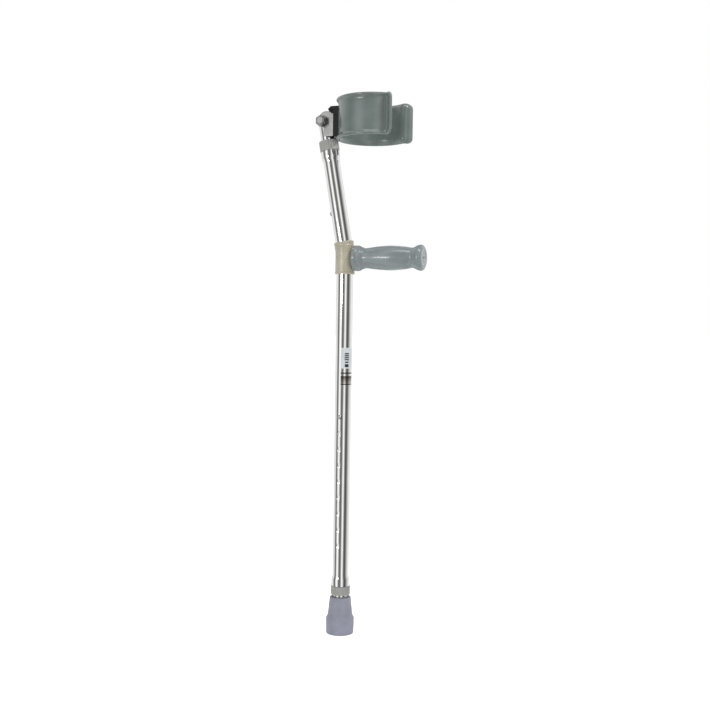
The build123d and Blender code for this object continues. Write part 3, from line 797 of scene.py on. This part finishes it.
# ---------------------------------------------------------------- finish of the carried-over parts
def soften_edges():
    """Small rounded edges on the steel and plastic parts that keep their own shape."""
    widths = {"cuff_bracket": 0.45, "cuff_spacer": 1.0, "pivot_bolt": 0.4, "pivot_nut": 0.5,
              "pivot_washers": 0.2, "cuff_rivets": 0.2, "leg_snap_button": 0.3,
              "cuff_snap_button": 0.3, "leg_tube": 0.2,
              "cuff_tube": 0.25}
    for node, width in widths.items():
        item = frame["nodes"][node]
        modifier = item.modifiers.new("edges", "BEVEL")
        modifier.width = width * MM
        modifier.segments = 3
        modifier.limit_method = "ANGLE"
        modifier.angle_limit = math.radians(38)


main_tube()
tip()
lock_nuts()
handle_bracket()
grip()
end_cap()
label()
cuff()
soften_edges()


# ---------------------------------------------------------------- stage, light and camera
VIEW_AZIMUTH = math.radians(21)
VIEW_DISTANCE = 1.65
EYE_HEIGHT = 0.4911
AIM_HEIGHT = 0.4421
AIM_RIGHT = 0.0179
ROLL = math.radians(0.83)
LENS = 53.0
SENSOR_WIDTH = 36
FLOOR_HALF = 40.0
FLOOR_GLOW = 0.4


def camera():
    right = Vector((math.cos(VIEW_AZIMUTH), math.sin(VIEW_AZIMUTH), 0))
    back = Vector((math.sin(VIEW_AZIMUTH), -math.cos(VIEW_AZIMUTH), 0))
    data = bpy.data.cameras.new("camera")
    data.lens = LENS
    data.sensor_width = SENSOR_WIDTH
    item = bpy.data.objects.new("camera", data)
    bpy.context.scene.collection.objects.link(item)
    eye = right * AIM_RIGHT + back * VIEW_DISTANCE + UP * EYE_HEIGHT
    target = right * AIM_RIGHT + UP * AIM_HEIGHT
    look = (target - eye).to_track_quat("-Z", "Y").to_matrix().to_4x4()
    item.matrix_world = Matrix.Translation(eye) @ look @ Matrix.Rotation(ROLL, 4, "Z")
    bpy.context.scene.camera = item


def floor():
    mesh = bpy.data.meshes.new("floor")
    half = FLOOR_HALF
    mesh.from_pydata([(-half, -half, 0), (half, -half, 0), (half, half, 0), (-half, half, 0)], [],
                     [(0, 1, 2, 3)])
    item = bpy.data.objects.new("floor", mesh)
    bpy.context.scene.collection.objects.link(item)
    mat, tree, shader = node_material("pale_floor")
    shader.inputs["Base Color"].default_value = (1, 1, 1, 1)
    shader.inputs["Roughness"].default_value = 0.9
    shader.inputs["Specular IOR Level"].default_value = 0.0
    shader.inputs["Emission Color"].default_value = (1, 1, 1, 1)
    shader.inputs["Emission Strength"].default_value = FLOOR_GLOW
    mesh.materials.append(mat)
    item.visible_glossy = False


def softbox(name, turn_deg, rise_deg, distance, aim, size, power):
    """Area light at an angle round from the camera and up from the floor, turned to its aim."""
    turn = math.radians(turn_deg)
    rise = math.radians(rise_deg)
    right = Vector((math.cos(VIEW_AZIMUTH), math.sin(VIEW_AZIMUTH), 0))
    back = Vector((math.sin(VIEW_AZIMUTH), -math.cos(VIEW_AZIMUTH), 0))
    direction = (back * math.cos(turn) + right * math.sin(turn)) * math.cos(rise) + UP * math.sin(rise)
    data = bpy.data.lights.new(name, "AREA")
    data.energy = power
    data.shape = "RECTANGLE"
    data.size, data.size_y = size
    item = bpy.data.objects.new(name, data)
    bpy.context.scene.collection.objects.link(item)
    facing = direction.to_track_quat("Z", "Y").to_matrix().to_4x4()
    item.matrix_world = Matrix.Translation(aim + direction * distance) @ facing
    return item


# Brightness of the studio round the object as polished metal sees it: (degrees round from the camera, grey).
# Dark stands are the low values, white walls and softboxes the high ones. The stands near 160 degrees
# give the tube its stripes from behind.
STUDIO_STOPS = [
    (-180, 0.90), (-171, 0.20), (-160, 0.12), (-150, 0.75), (-110, 0.68), (-96, 0.30),
    (-84, 0.10), (-74, 0.16), (-62, 0.70), (-48, 0.95), (-38, 0.62), (-27, 0.14), (-14, 0.11),
    (-3, 0.20), (7, 0.55), (18, 0.98), (28, 0.50), (40, 0.13), (56, 0.06), (70, 0.16), (86, 0.42),
    (104, 0.62), (125, 0.75), (149, 0.90), (159, 0.14), (170, 0.22), (180, 0.90),
]
# strength of that reflected studio, and of the white surroundings that light matt surfaces
STUDIO_GAIN = 1.25
FILL_LIGHT = 0.70


def plain_background(tree, strength):
    """White surroundings of a given strength."""
    node = add(tree, "ShaderNodeBackground")
    node.inputs["Color"].default_value = (1, 1, 1, 1)
    node.inputs["Strength"].default_value = strength
    return node


def studio_world():
    world = bpy.data.worlds.new("studio")
    bpy.context.scene.world = world
    world.use_nodes = True
    tree = world.node_tree
    tree.nodes.clear()
    out = add(tree, "ShaderNodeOutputWorld")
    coord = add(tree, "ShaderNodeTexCoord")
    split = add(tree, "ShaderNodeSeparateXYZ")
    tree.links.new(coord.outputs["Generated"], split.inputs[0])
    angle = add(tree, "ShaderNodeMath", operation="ARCTAN2")
    right = (math.cos(VIEW_AZIMUTH), math.sin(VIEW_AZIMUTH))
    back = (math.sin(VIEW_AZIMUTH), -math.cos(VIEW_AZIMUTH))

    def component(direction):
        x_part = add(tree, "ShaderNodeMath", operation="MULTIPLY")
        x_part.inputs[1].default_value = direction[0]
        tree.links.new(split.outputs["X"], x_part.inputs[0])
        total = add(tree, "ShaderNodeMath", operation="MULTIPLY_ADD")
        total.inputs[1].default_value = direction[1]
        tree.links.new(split.outputs["Y"], total.inputs[0])
        tree.links.new(x_part.outputs[0], total.inputs[2])
        return total.outputs[0]

    tree.links.new(component(right), angle.inputs[0])
    tree.links.new(component(back), angle.inputs[1])
    turn = add(tree, "ShaderNodeMapRange")
    turn.inputs["From Min"].default_value = -math.pi
    turn.inputs["From Max"].default_value = math.pi
    tree.links.new(angle.outputs[0], turn.inputs["Value"])
    stripes = ramp(tree, turn.outputs["Result"], [((deg + 180) / 360, grey) for deg, grey in STUDIO_STOPS])
    glossy = add(tree, "ShaderNodeBackground")
    tree.links.new(stripes, glossy.inputs["Color"])
    glossy.inputs["Strength"].default_value = STUDIO_GAIN
    paths = add(tree, "ShaderNodeLightPath")
    seen = plain_background(tree, 1.0)
    for output, background in (("Is Diffuse Ray", plain_background(tree, FILL_LIGHT)),
                               ("Is Glossy Ray", glossy)):
        mix = add(tree, "ShaderNodeMixShader")
        tree.links.new(paths.outputs[output], mix.inputs["Fac"])
        tree.links.new(seen.outputs[0], mix.inputs[1])
        tree.links.new(background.outputs[0], mix.inputs[2])
        seen = mix
    tree.links.new(seen.outputs[0], out.inputs["Surface"])


camera()
floor()
studio_world()
softbox("key_light", 52, 43, 1.5, Vector((0.04, 0, 0.80)), (0.28, 0.20), 13.0)
softbox("left_light", -44, 5, 1.5, Vector((0.06, 0, 0.53)), (0.40, 0.20), 4.0)
softbox("top_light", -10, 70, 1.4, Vector((0.03, 0, 0.60)), (0.70, 0.50), 4.0)
bpy.context.scene.view_settings.view_transform = "Standard"
